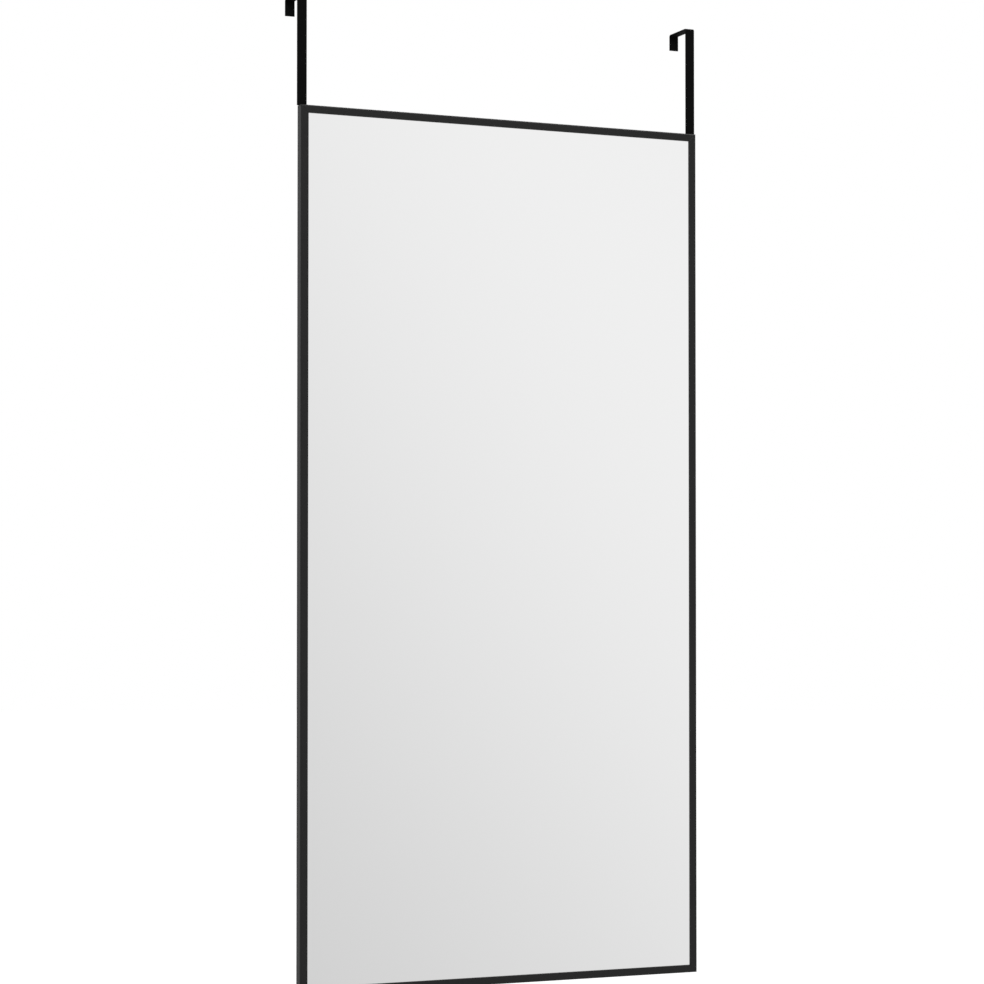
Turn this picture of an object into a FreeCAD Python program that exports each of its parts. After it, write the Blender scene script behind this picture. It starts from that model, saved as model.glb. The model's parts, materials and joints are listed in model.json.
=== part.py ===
"""Over-the-door mirror: a mitred aluminium frame round a silvered pane, hung from two bent steel strips.

Millimetres. X runs to the right, Y into the door and Z up. The origin is on the top edge of the door, at its
front face, midway between the hangers: the hooks bear on Z = 0 and the bumpers on Y = 0.
Places across a frame member are given as (inward, back, along): inward from the frame's outer side, back
from its front face, and along the member from its first mitred end.
"""

import FreeCAD
import Part

import math
import os

Vector = FreeCAD.Vector

# Frame: one aluminium profile, mitred at the corners, open towards the pane.
FRAME_WIDTH = 500.0
FRAME_HEIGHT = 1000.0
FACE_WIDTH = 9.0
FRONT_LIP = 1.6
SIDE_WALL = 1.2
REAR_FLANGE = 1.2
FRONT_RADIUS = 2.0
REAR_RADIUS = 0.6
LIP_RADIUS = 0.4

# Pane and what backs it.
GLASS_THICKNESS = 3.0
GLASS_ARRIS = 0.4
FILM_THICKNESS = 0.3
BOARD_THICKNESS = 2.0
PANE_PLAY = 0.8

# Door that the hooks are made for.
DOOR_THICKNESS = 35.0
DOOR_PLAY = 0.5

# Hangers: flat strip with a bent hook above the frame and a narrower tang inside the stile.
STRIP_WIDTH = 11.4
STRIP_THICKNESS = 1.5
STRIP_OVERHANG = 2.0
HANGER_RISE = 128.0
HOOK_DROP = 19.0
BEND_RADIUS = 1.0
TANG_WIDTH = 7.0
TANG_LEAD_IN = 1.5
HANGER_TRAVEL = 30.0

# Guide sleeves, in which the tangs slide. The corner keys are as thick as a sleeve's rear wall.
SLEEVE_LENGTH = 50.0
SLEEVE_WALL = 0.8
REAR_PLATE = 1.9
SLEEVE_TO_KEY = 4.0
RUN_PLAY = 0.15
SLOT_PLAY = 0.2
SEAT_PLAY = 0.2
BOARD_TO_SLEEVE = 0.2

# Fasteners.
SCREW_DIAMETER = 3.0
SCREW_HEAD_DIAMETER = 5.2
SCREW_TIP_GAP = 0.1
SCREW_PLAY = 0.05
RECESS_LENGTH = 2.8
RECESS_WIDTH = 0.6
RECESS_DEPTH = 0.8
SET_SCREW_DIAMETER = 4.0
SET_SCREW_HEX = 2.0
SET_SCREW_SOCKET_DEPTH = 1.4
SET_SCREW_RECESS = 0.2
SCREW_PITCH = 14.0
SCREW_FROM_END = 5.0
SET_SCREW_FROM_END = 16.0
KEY_END = 7.0

# Spring clips and bumpers.
CLIP_LENGTH = 46.0
CLIP_WIDTH = 11.0
CLIP_THICKNESS = 0.4
CLIP_PLAY = 0.05
CLIP_BELOW_TANG = 70.0
CLIP_FROM_BOTTOM = 150.0
BUMPER_DIAMETER = 7.6
BUMPER_THICKNESS = 1.0
BUMPER_FROM_TOP = 112.0
BUMPER_FROM_BOTTOM = 60.0

# Depths behind the frame's front face, layer by layer.
GLASS_BACK = FRONT_LIP + GLASS_THICKNESS
FILM_BACK = GLASS_BACK + FILM_THICKNESS
BOARD_BACK = FILM_BACK + BOARD_THICKNESS
SLEEVE_FRONT = BOARD_BACK + BOARD_TO_SLEEVE
STRIP_FRONT = SLEEVE_FRONT + SLEEVE_WALL + RUN_PLAY
STRIP_BACK = STRIP_FRONT + STRIP_THICKNESS
PLATE_FRONT = STRIP_BACK + RUN_PLAY
PLATE_BACK = PLATE_FRONT + REAR_PLATE
FLANGE_FRONT = PLATE_BACK + SEAT_PLAY
PROFILE_DEPTH = FLANGE_FRONT + REAR_FLANGE

# Places of the frame and its pieces in the part's own axes.
FRONT_Y = -(PROFILE_DEPTH + BUMPER_THICKNESS)
TOP_Z = STRIP_THICKNESS - HANGER_RISE
BOTTOM_Z = TOP_Z - FRAME_HEIGHT
LEFT_X = -FRAME_WIDTH / 2

SEAT_INWARD = SIDE_WALL + SEAT_PLAY
KEY_LEG_WIDTH = FACE_WIDTH - SEAT_INWARD - SEAT_PLAY
KEY_SCREW_INWARD = SEAT_INWARD + KEY_LEG_WIDTH / 2
KEY_FIRST_SCREW = FACE_WIDTH + KEY_END
KEY_SECOND_SCREW = KEY_FIRST_SCREW + SCREW_PITCH
KEY_LEG_LENGTH = KEY_SECOND_SCREW + KEY_END

SLEEVE_WIDTH = TANG_WIDTH + 2 * (RUN_PLAY + SLEEVE_WALL)
TANG_INWARD = SEAT_INWARD + SLEEVE_WALL + RUN_PLAY
TANG_CENTRE = TANG_INWARD + TANG_WIDTH / 2
SLEEVE_TOP = KEY_LEG_LENGTH + SLEEVE_TO_KEY
SLEEVE_BOTTOM = SLEEVE_TOP + SLEEVE_LENGTH
TANG_LENGTH = SLEEVE_BOTTOM + HANGER_TRAVEL
SLEEVE_SCREWS = (SLEEVE_TOP + SCREW_FROM_END, SLEEVE_BOTTOM - SCREW_FROM_END)
CLAMP_SCREWS = (SLEEVE_TOP + SET_SCREW_FROM_END, SLEEVE_BOTTOM - SET_SCREW_FROM_END)

HEAD_HEIGHT = (SCREW_HEAD_DIAMETER - SCREW_DIAMETER) / 2
BACKWARD = Vector(0, 1, 0)


def span(inward, back, along):
    """Box between three (low, high) pairs."""
    (x0, x1), (y0, y1), (z0, z1) = inward, back, along
    return Part.makeBox(x1 - x0, y1 - y0, z1 - z0, Vector(x0, y0, z0))


def prism(points, direction):
    """Solid pushed out along a direction from a flat outline of straight sides."""
    return Part.Face(Part.makePolygon(points + points[:1])).extrude(direction)


def bar(radius, inward, back, along):
    """Round bar along the depth, between a (low, high) pair of depths."""
    return Part.makeCylinder(radius, back[1] - back[0], Vector(inward, back[0], along), BACKWARD)


def rounded_outline(corners):
    """Closed wire through (point, radius) corners in one plane, with an arc where the radius isn't 0."""
    edges = []
    ends = []
    for index, (corner, radius) in enumerate(corners):
        before = (corners[index - 1][0] - corner).normalize()
        after = (corners[(index + 1) % len(corners)][0] - corner).normalize()
        half_turn = before.getAngle(after) / 2
        start = corner + before * (radius / math.tan(half_turn))
        end = corner + after * (radius / math.tan(half_turn))
        if radius:
            towards_centre = (before + after).normalize()
            middle = corner + towards_centre * (radius / math.sin(half_turn) - radius)
            edges.append(Part.Arc(start, middle, end).toShape())
        ends.append((start, end))
    for (_, leave), (arrive, _) in zip(ends, ends[1:] + ends[:1]):
        edges.append(Part.LineSegment(leave, arrive).toShape())
    return Part.Wire(Part.__sortEdges__(edges))


def mirrored(shape):
    """The same piece on the right-hand side."""
    return shape.mirror(Vector(0, 0, 0), Vector(1, 0, 0))


class Side:
    """One side of the frame, with the place of its first mitred end and its two directions."""

    def __init__(self, start, inward, along, length):
        self.length = length
        back = BACKWARD
        self.matrix = FreeCAD.Matrix(
            inward.x, back.x, along.x, start.x,
            inward.y, back.y, along.y, start.y,
            inward.z, back.z, along.z, start.z,
            0, 0, 0, 1,
        )

    def place(self, shape):
        """A shape made at (inward, back, along) moved to this side."""
        return shape.transformed(self.matrix)


LEFT = Side(Vector(LEFT_X, FRONT_Y, BOTTOM_Z), Vector(1, 0, 0), Vector(0, 0, 1), FRAME_HEIGHT)
TOP = Side(Vector(LEFT_X, FRONT_Y, TOP_Z), Vector(0, 0, -1), Vector(1, 0, 0), FRAME_WIDTH)
BOTTOM = Side(Vector(-LEFT_X, FRONT_Y, BOTTOM_Z), Vector(0, 0, 1), Vector(-1, 0, 0), FRAME_WIDTH)


def profile_section():
    """Face of the frame's profile: front lip, side wall and rear flange round an open channel."""
    corners = [
        (Vector(0, 0, 0), FRONT_RADIUS),
        (Vector(FACE_WIDTH, 0, 0), LIP_RADIUS),
        (Vector(FACE_WIDTH, FRONT_LIP, 0), 0),
        (Vector(SIDE_WALL, FRONT_LIP, 0), 0),
        (Vector(SIDE_WALL, FLANGE_FRONT, 0), 0),
        (Vector(FACE_WIDTH, FLANGE_FRONT, 0), 0),
        (Vector(FACE_WIDTH, PROFILE_DEPTH, 0), 0),
        (Vector(0, PROFILE_DEPTH, 0), REAR_RADIUS),
    ]
    return Part.Face(rounded_outline(corners))


def member(length):
    """Frame member with a 45 degree mitre at both ends and the corner keys' screw holes."""
    solid = profile_section().extrude(Vector(0, 0, length))
    reach = FACE_WIDTH + 1
    for end, sense in ((0, 1), (length, -1)):
        mitre = [Vector(0, -1, end), Vector(reach, -1, end), Vector(reach, -1, end + sense * reach)]
        solid = solid.cut(prism(mitre, Vector(0, PROFILE_DEPTH + 2, 0)))
        for distance in (KEY_FIRST_SCREW, KEY_SECOND_SCREW):
            solid = solid.cut(screw_hole(KEY_SCREW_INWARD, end + sense * distance))
    return solid


def screw_body(play, inward, along):
    """Countersunk head and shank, larger all round by a play."""
    radius = SCREW_DIAMETER / 2 + play
    head = Part.makeCone(
        SCREW_HEAD_DIAMETER / 2 + play, radius, HEAD_HEIGHT,
        Vector(inward, PROFILE_DEPTH, along), -BACKWARD,
    )
    tip = PLATE_FRONT + SCREW_TIP_GAP - play
    return head.fuse(bar(radius, inward, (tip, PROFILE_DEPTH - HEAD_HEIGHT), along))


def screw_hole(inward, along):
    """Countersunk clearance hole for one screw, open at the front of the plate it enters."""
    through = bar(SCREW_DIAMETER / 2 + SCREW_PLAY, inward, (PLATE_FRONT - 1, PLATE_BACK), along)
    return screw_body(SCREW_PLAY, inward, along).fuse(through)


def screw(inward, along):
    """Countersunk screw with a cross recess."""
    solid = screw_body(0, inward, along)
    depth = (PROFILE_DEPTH - RECESS_DEPTH, PROFILE_DEPTH + 1)
    for across, down in ((RECESS_LENGTH, RECESS_WIDTH), (RECESS_WIDTH, RECESS_LENGTH)):
        arm = span(
            (inward - across / 2, inward + across / 2), depth, (along - down / 2, along + down / 2)
        )
        solid = solid.cut(arm)
    return solid.removeSplitter()


def set_screw(inward, along):
    """Headless clamp screw with a hexagon socket, its tip just behind the tang."""
    top = PROFILE_DEPTH - SET_SCREW_RECESS
    body = bar(SET_SCREW_DIAMETER / 2, inward, (STRIP_BACK + SCREW_TIP_GAP, top), along)
    corner_radius = SET_SCREW_HEX / math.sqrt(3)
    corners = [
        Vector(
            inward + corner_radius * math.cos(math.radians(60 * turn)),
            top - SET_SCREW_SOCKET_DEPTH,
            along + corner_radius * math.sin(math.radians(60 * turn)),
        )
        for turn in range(6)
    ]
    return body.cut(prism(corners, BACKWARD * (SET_SCREW_SOCKET_DEPTH + 1)))


def left_stile():
    """Left stile, drilled for the sleeve's screws and the clamp screws."""
    solid = member(LEFT.length)
    for distance in SLEEVE_SCREWS:
        solid = solid.cut(screw_hole(TANG_CENTRE, LEFT.length - distance))
    for distance in CLAMP_SCREWS:
        hole = bar(
            SET_SCREW_DIAMETER / 2 + SEAT_PLAY, TANG_CENTRE,
            (PLATE_BACK, PROFILE_DEPTH + 1), LEFT.length - distance,
        )
        solid = solid.cut(hole)
    return LEFT.place(solid)


def top_rail():
    """Top rail with the two slots that the hangers' tangs pass through."""
    solid = member(TOP.length)
    low, high = TANG_INWARD - SLOT_PLAY, TANG_INWARD + TANG_WIDTH + SLOT_PLAY
    depth = (STRIP_FRONT - SLOT_PLAY, STRIP_BACK + SLOT_PLAY)
    for ends in ((low, high), (TOP.length - high, TOP.length - low)):
        solid = solid.cut(span((-1, SIDE_WALL + 1), depth, ends))
    return TOP.place(solid)


def pane_layer(front, back):
    """Flat layer that fills the frame's channel between two depths."""
    edge = SIDE_WALL + PANE_PLAY
    x = (LEFT_X + edge, -LEFT_X - edge)
    z = (BOTTOM_Z + edge, TOP_Z - edge)
    return span(x, (FRONT_Y + front, FRONT_Y + back), z)


def mirror_glass():
    """Silvered pane with its edges ground to a small arris."""
    pane = pane_layer(FRONT_LIP, GLASS_BACK)
    long_edges = [edge for edge in pane.Edges if edge.Length > GLASS_THICKNESS * 2]
    return pane.makeChamfer(GLASS_ARRIS, long_edges)


def corner_key(side):
    """L-shaped key at the first mitred end of a side, its second leg on the side before it."""
    low, high = SEAT_INWARD, SEAT_INWARD + KEY_LEG_WIDTH
    outline = [
        Vector(low, PLATE_FRONT, low),
        Vector(KEY_LEG_LENGTH, PLATE_FRONT, low),
        Vector(KEY_LEG_LENGTH, PLATE_FRONT, high),
        Vector(high, PLATE_FRONT, high),
        Vector(high, PLATE_FRONT, KEY_LEG_LENGTH),
        Vector(low, PLATE_FRONT, KEY_LEG_LENGTH),
    ]
    solid = prism(outline, BACKWARD * REAR_PLATE)
    for inward, along in corner_screw_places():
        solid = solid.cut(screw_hole(inward, along))
    return side.place(solid)


def corner_screw_places():
    """(inward, along) of the four screws at a corner."""
    distances = (KEY_FIRST_SCREW, KEY_SECOND_SCREW)
    own = [(KEY_SCREW_INWARD, distance) for distance in distances]
    return own + [(distance, KEY_SCREW_INWARD) for distance in distances]


def corner_screws(side):
    """The four screws at the first mitred end of a side."""
    return side.place(Part.makeCompound([screw(*place) for place in corner_screw_places()]))


def guide_sleeve():
    """Flat steel tube in the left stile, tapped for its own screws and for the clamp screws."""
    along = (LEFT.length - SLEEVE_BOTTOM, LEFT.length - SLEEVE_TOP)
    solid = span((SEAT_INWARD, SEAT_INWARD + SLEEVE_WIDTH), (SLEEVE_FRONT, PLATE_BACK), along)
    bore_inward = (TANG_INWARD - RUN_PLAY, TANG_INWARD + TANG_WIDTH + RUN_PLAY)
    solid = solid.cut(span(bore_inward, (STRIP_FRONT - RUN_PLAY, PLATE_FRONT), along))
    for distance in SLEEVE_SCREWS:
        hole = (PLATE_FRONT - RUN_PLAY, PLATE_BACK)
        solid = solid.cut(
            bar(SCREW_DIAMETER / 2 + SCREW_PLAY, TANG_CENTRE, hole, LEFT.length - distance)
        )
    for distance in CLAMP_SCREWS:
        hole = (PLATE_FRONT - RUN_PLAY, PLATE_BACK)
        solid = solid.cut(
            bar(SET_SCREW_DIAMETER / 2 + SCREW_PLAY, TANG_CENTRE, hole, LEFT.length - distance)
        )
    return LEFT.place(solid)


def in_left_stile(make, distances):
    """Like fasteners in the left stile, at distances below the frame's top."""
    pieces = [make(TANG_CENTRE, LEFT.length - distance) for distance in distances]
    return LEFT.place(Part.makeCompound(pieces))


def left_hanger():
    """Bent strip: hook over the door, upright, shoulder on the top rail and tang in the sleeve."""
    near = FRONT_Y + STRIP_FRONT
    far = DOOR_THICKNESS + DOOR_PLAY
    x = LEFT_X - STRIP_OVERHANG
    outer = BEND_RADIUS + STRIP_THICKNESS
    tip = STRIP_THICKNESS - HOOK_DROP
    corners = [
        (Vector(x, near, TOP_Z), 0),
        (Vector(x, near, STRIP_THICKNESS), outer),
        (Vector(x, far + STRIP_THICKNESS, STRIP_THICKNESS), outer),
        (Vector(x, far + STRIP_THICKNESS, tip), 0),
        (Vector(x, far, tip), 0),
        (Vector(x, far, 0), BEND_RADIUS),
        (Vector(x, near + STRIP_THICKNESS, 0), BEND_RADIUS),
        (Vector(x, near + STRIP_THICKNESS, TOP_Z), 0),
    ]
    strip = Part.Face(rounded_outline(corners)).extrude(Vector(STRIP_WIDTH, 0, 0))
    left, right = LEFT_X + TANG_INWARD, LEFT_X + TANG_INWARD + TANG_WIDTH
    end = TOP_Z - TANG_LENGTH
    tang = prism(
        [
            Vector(left, near, TOP_Z + 1),
            Vector(right, near, TOP_Z + 1),
            Vector(right, near, end + TANG_LEAD_IN),
            Vector(right - TANG_LEAD_IN, near, end),
            Vector(left + TANG_LEAD_IN, near, end),
            Vector(left, near, end + TANG_LEAD_IN),
        ],
        BACKWARD * STRIP_THICKNESS,
    )
    return strip.fuse(tang).removeSplitter()


def spring_clip(side, middle):
    """Bowed leaf spring in a side's rear channel: its crown on the board, its ends on the flange."""
    low, high = SEAT_INWARD, SEAT_INWARD + CLIP_WIDTH
    half = CLIP_LENGTH / 2
    crown = BOARD_BACK + CLIP_PLAY
    ends = FLANGE_FRONT - CLIP_PLAY
    front = Part.Arc(
        Vector(low, ends - CLIP_THICKNESS, middle - half),
        Vector(low, crown, middle),
        Vector(low, ends - CLIP_THICKNESS, middle + half),
    ).toShape()
    back = Part.Arc(
        Vector(low, ends, middle - half),
        Vector(low, crown + CLIP_THICKNESS, middle),
        Vector(low, ends, middle + half),
    ).toShape()
    caps = [
        Part.LineSegment(
            Vector(low, ends - CLIP_THICKNESS, middle + end), Vector(low, ends, middle + end)
        ).toShape()
        for end in (-half, half)
    ]
    outline = Part.Wire(Part.__sortEdges__([front, back, *caps]))
    return side.place(Part.Face(outline).extrude(Vector(high - low, 0, 0)))


def bumper(along):
    """Rubber disc on the back of the left stile."""
    depth = (PROFILE_DEPTH, PROFILE_DEPTH + BUMPER_THICKNESS)
    return LEFT.place(bar(BUMPER_DIAMETER / 2, FACE_WIDTH / 2, depth, along))


def left_hand_parts():
    """Pieces of the left half that repeat, mirrored, on the right, by the rest of their names."""
    highest = FRAME_HEIGHT - TANG_LENGTH - CLIP_BELOW_TANG
    clips = {
        "upper": highest,
        "middle": (highest + CLIP_FROM_BOTTOM) / 2,
        "lower": CLIP_FROM_BOTTOM,
    }
    parts = {
        "stile": left_stile(),
        "hanger": left_hanger(),
        "guide_sleeve": guide_sleeve(),
        "sleeve_screws": in_left_stile(screw, SLEEVE_SCREWS),
        "clamp_screws": in_left_stile(set_screw, CLAMP_SCREWS),
        "top_bumper": bumper(FRAME_HEIGHT - BUMPER_FROM_TOP),
        "bottom_bumper": bumper(BUMPER_FROM_BOTTOM),
        "top_corner_key": corner_key(TOP),
        "top_corner_screws": corner_screws(TOP),
        "bottom_corner_key": corner_key(LEFT),
        "bottom_corner_screws": corner_screws(LEFT),
    }
    for name, middle in clips.items():
        parts[f"{name}_spring_clip"] = spring_clip(LEFT, middle)
    return parts


def build():
    """Every sub-part by its node's name."""
    parts = {
        "top_rail": top_rail(),
        "bottom_rail": BOTTOM.place(member(BOTTOM.length)),
        "mirror_glass": mirror_glass(),
        "safety_film": pane_layer(GLASS_BACK, FILM_BACK),
        "backing_board": pane_layer(FILM_BACK, BOARD_BACK),
        "top_rail_spring_clip": spring_clip(TOP, TOP.length / 2),
        "bottom_rail_spring_clip": spring_clip(BOTTOM, BOTTOM.length / 2),
    }
    for name, shape in left_hand_parts().items():
        parts[f"left_{name}"] = shape
        parts[f"right_{name}"] = mirrored(shape)
    return parts


os.makedirs("parts", exist_ok=True)
for node, shape in build().items():
    shape.exportStep(f"parts/{node}.step")
    print(f"{node}: {len(shape.Solids)} solid(s), {shape.Volume:.1f} mm3")
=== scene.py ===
"""Looks of an over-the-door mirror: a slim black frame round a silvered pane, hung from two bent strips.

Sizes are in millimetres and finished meshes in metres. X runs to the right, Y into the door and Z up.
Pieces of the frame are shaped at (inward, back, along): inward from an outer corner across the member,
back from the frame's front face, and along the member from that corner. The corner's matrix then puts
them in their place.
"""

import json
import logging
import math
from collections.abc import Iterable, Sequence
from dataclasses import dataclass, field
from enum import Enum

import bmesh
import bpy
from bmesh.types import BMEdge, BMesh, BMFace, BMVert
from bpy.types import Material, Node, NodeSocket, NodeTree, Object, World
from mathutils import Euler, Matrix, Vector

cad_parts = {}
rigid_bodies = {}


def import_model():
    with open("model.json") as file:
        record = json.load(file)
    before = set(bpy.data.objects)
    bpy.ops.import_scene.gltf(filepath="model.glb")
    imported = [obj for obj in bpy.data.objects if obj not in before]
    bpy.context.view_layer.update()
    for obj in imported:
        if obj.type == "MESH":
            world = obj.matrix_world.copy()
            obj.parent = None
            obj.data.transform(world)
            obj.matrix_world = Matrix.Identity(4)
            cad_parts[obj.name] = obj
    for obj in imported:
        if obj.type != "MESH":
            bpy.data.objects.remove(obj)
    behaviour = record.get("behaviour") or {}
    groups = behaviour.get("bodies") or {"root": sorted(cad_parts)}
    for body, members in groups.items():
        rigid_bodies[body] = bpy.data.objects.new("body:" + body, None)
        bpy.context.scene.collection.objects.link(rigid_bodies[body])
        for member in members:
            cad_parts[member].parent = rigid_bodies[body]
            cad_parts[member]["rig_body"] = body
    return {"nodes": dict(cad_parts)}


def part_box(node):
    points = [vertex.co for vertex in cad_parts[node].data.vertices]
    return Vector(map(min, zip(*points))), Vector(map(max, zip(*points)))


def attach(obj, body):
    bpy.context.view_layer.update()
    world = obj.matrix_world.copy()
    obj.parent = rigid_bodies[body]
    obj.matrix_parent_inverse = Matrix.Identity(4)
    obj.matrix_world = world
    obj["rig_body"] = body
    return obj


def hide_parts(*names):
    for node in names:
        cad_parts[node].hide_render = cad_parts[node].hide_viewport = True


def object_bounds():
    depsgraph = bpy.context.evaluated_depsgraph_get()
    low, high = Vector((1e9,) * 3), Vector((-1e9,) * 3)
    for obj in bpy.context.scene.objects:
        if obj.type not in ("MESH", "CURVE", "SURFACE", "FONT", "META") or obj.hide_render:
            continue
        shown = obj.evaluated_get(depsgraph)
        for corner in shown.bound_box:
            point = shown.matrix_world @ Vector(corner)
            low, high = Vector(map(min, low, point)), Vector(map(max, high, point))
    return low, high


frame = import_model()
cad_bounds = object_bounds()

log = logging.getLogger("over_the_door_mirror")

Point = Sequence[float]
Colour = tuple[float, float, float, float]
Inputs = dict[str | int, object]

MM = 0.001
QUARTER = math.pi / 2
WHITE = (1.0, 1.0, 1.0, 1.0)
SHARP_ANGLE = math.radians(38)
FACING = 0.9  # a normal with this share along an axis faces that way
MERGE = 1e-4  # points nearer than this are one
OVERSHOOT = 1.0  # how far a cutting tool reaches out of the work
EASE_STEPS = 3  # segments of a small rounded edge
STEPS_PER_MM = 4  # segments of a larger corner, by its radius
BEND_STEPS = 10
TURN_STEPS = 32  # facets round a turned piece


class Hand(Enum):
    """Side of the mirror."""

    LEFT = "left"
    RIGHT = "right"


class End(Enum):
    """Lower or upper end of the frame."""

    BOTTOM = "bottom"
    TOP = "top"


class Run(Enum):
    """Which way a frame member runs."""

    UPRIGHT = "stile"
    LEVEL = "rail"


# ---- Shaping ----


def box_mm(node: str) -> tuple[Vector, Vector]:
    """A CAD node's lowest and highest corner, in millimetres."""
    low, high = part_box(node)
    return low / MM, high / MM


def from_corner(node: str) -> tuple[Point, Point]:
    """Read a CAD node's box at (inward, back, along) from the frame's top left corner.

    Args:
        node: the node's name.

    Returns:
        Its nearest and its farthest corner.
    """
    (left, front, _), (_, _, top) = box_mm("left_stile")
    low, high = box_mm(node)
    return (low.x - left, low.y - front, top - high.z), (high.x - left, high.y - front, top - low.z)


def block(low: Point, high: Point) -> BMesh:
    """Make a rectangular block.

    Args:
        low: its lowest corner.
        high: its highest corner.

    Returns:
        The block.
    """
    low, high = Vector(low), Vector(high)
    work = bmesh.new()
    bmesh.ops.create_cube(work, size=1)
    bmesh.ops.scale(work, vec=high - low, verts=work.verts)
    bmesh.ops.translate(work, vec=(low + high) / 2, verts=work.verts)
    return work


def turned(outline: Sequence[Point]) -> BMesh:
    """Turn an outline round the back axis, as on a lathe.

    Args:
        outline: (radius, back) points from one end of the axis to the other.

    Returns:
        The closed solid.
    """
    work = bmesh.new()
    verts = [work.verts.new((radius, back, 0)) for radius, back in outline]
    edges = [work.edges.new(pair) for pair in zip(verts, verts[1:])]
    bmesh.ops.spin(
        work, geom=[*verts, *edges], axis=(0, 1, 0), angle=math.tau, steps=TURN_STEPS, use_merge=True
    )
    close(work)
    return work


def close(work: BMesh) -> None:
    """Merge a workpiece's seams and turn its faces outwards."""
    bmesh.ops.remove_doubles(work, verts=work.verts, dist=MERGE)
    bmesh.ops.recalc_face_normals(work, faces=work.faces)


def ease(work: BMesh, items: Iterable[BMEdge | BMVert], width: float, steps: int = EASE_STEPS) -> None:
    """Round off edges of a workpiece, or corners of a flat one.

    Args:
        work: the workpiece.
        items: the edges or the corners to round.
        width: the rounding's radius.
        steps: segments across the rounding; one makes a chamfer.
    """
    items = list(items)
    bmesh.ops.bevel(
        work, geom=items, offset=width, offset_type="OFFSET", segments=steps, profile=0.5, material=-1,
        affect="VERTICES" if isinstance(items[0], BMVert) else "EDGES", clamp_overlap=True,
    )


def sharp_edges(work: BMesh) -> list[BMEdge]:
    """The edges at which a workpiece turns sharply."""
    return [edge for edge in work.edges if edge.is_manifold and edge.calc_face_angle() > SHARP_ANGLE]


def inward_span(edge: BMEdge) -> float:
    """How far an edge runs inward."""
    return abs(edge.verts[0].co.x - edge.verts[1].co.x)


def of_kind(items: Iterable[object], kind: type) -> list:
    """Those items that are vertices, edges or faces, as kind says."""
    return [item for item in items if isinstance(item, kind)]


def bordered(*faces: BMFace) -> list[BMFace | BMEdge | BMVert]:
    """Faces with their edges and vertices, each once."""
    return list(dict.fromkeys(item for face in faces for item in (face, *face.edges, *face.verts)))


def rectangle(low: Point, high: Point, radius: float) -> list[Point]:
    """The (inward, back, radius) corners of a rectangle from its lowest and highest (inward, back)."""
    (left, near), (right, far) = low, high
    return [(left, near, radius), (right, near, radius), (right, far, radius), (left, far, radius)]


def outline_face(work: BMesh, corners: Sequence[Point]) -> BMFace:
    """Draw a flat section at along 0, with its corners rounded.

    Args:
        work: an empty workpiece.
        corners: (inward, back, radius) of each corner, in order.

    Returns:
        The section's face.
    """
    verts = [work.verts.new((inward, back, 0)) for inward, back, _ in corners]
    work.faces.new(verts)
    for size in sorted({radius for _, _, radius in corners if radius}):
        rounded = [vert for vert, (_, _, radius) in zip(verts, corners) if radius == size]
        ease(work, rounded, size, max(EASE_STEPS, round(STEPS_PER_MM * size)))
    work.faces.ensure_lookup_table()
    return work.faces[0]


def pushed(work: BMesh, face: BMFace, by: Point) -> BMFace:
    """Extrude one face of a workpiece.

    Args:
        work: the workpiece.
        face: the face to extrude.
        by: how far it moves.

    Returns:
        The moved face.
    """
    made = bmesh.ops.extrude_face_region(work, geom=bordered(face))["geom"]
    bmesh.ops.translate(work, vec=by, verts=of_kind(made, BMVert))
    return of_kind(made, BMFace)[0]


def bent(work: BMesh, face: BMFace, centre: Point) -> BMFace:
    """Sweep one face of a workpiece a quarter turn round a bend whose axis points inward.

    Args:
        work: the workpiece.
        face: the face to sweep.
        centre: a point on the bend's axis.

    Returns:
        The face at the bend's end.
    """
    swept = bmesh.ops.spin(
        work, geom=bordered(face), cent=centre, axis=(1, 0, 0), angle=QUARTER, steps=BEND_STEPS
    )
    return of_kind(swept["geom_last"], BMFace)[0]


def repeated(master: BMesh, places: Iterable[Matrix]) -> BMesh:
    """Copy a workpiece to several places.

    Args:
        master: the workpiece, which is used up.
        places: a matrix for each copy.

    Returns:
        All the copies as one workpiece.
    """
    pattern = bpy.data.meshes.new("pattern")
    master.to_mesh(pattern)
    master.free()
    work = bmesh.new()
    for place in places:
        before = len(work.verts)
        work.from_mesh(pattern)
        work.verts.ensure_lookup_table()
        bmesh.ops.transform(work, matrix=place, verts=work.verts[before:])
    bpy.data.meshes.remove(pattern)
    return work


def as_object(work: BMesh, name: str) -> Object:
    """Turn a workpiece into an object of the scene.

    Args:
        work: the workpiece, which is used up.
        name: the object's name.

    Returns:
        The object.
    """
    mesh = bpy.data.meshes.new(name)
    work.to_mesh(mesh)
    work.free()
    made = bpy.data.objects.new(name, mesh)
    bpy.context.scene.collection.objects.link(made)
    return made


def cut(work: BMesh, tool: BMesh) -> BMesh:
    """Cut a tool's shape out of a workpiece.

    Args:
        work: the workpiece, which is used up.
        tool: closed solids that don't overlap each other, used up too.

    Returns:
        What is left of the workpiece.
    """
    body, cutter = as_object(work, "work"), as_object(tool, "tool")
    difference = body.modifiers.new("cut", "BOOLEAN")
    difference.operation = "DIFFERENCE"
    difference.solver = "EXACT"
    difference.object = cutter
    left = bpy.data.meshes.new_from_object(body.evaluated_get(bpy.context.evaluated_depsgraph_get()))
    result = bmesh.new()
    result.from_mesh(left)
    bpy.data.batch_remove([body, cutter, body.data, cutter.data, left])
    return result


# ---- Finishes ----


def linear(colour: str) -> Colour:
    """Turn an sRGB hex colour to linear light.

    Args:
        colour: the colour as "#rrggbb".

    Returns:
        Red, green, blue and an alpha of 1.
    """
    shares = [int(colour[start:start + 2], 16) / 255 for start in (1, 3, 5)]
    red, green, blue = (
        share / 12.92 if share <= 0.04045 else ((share + 0.055) / 1.055) ** 2.4 for share in shares
    )
    return red, green, blue, 1.0


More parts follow.
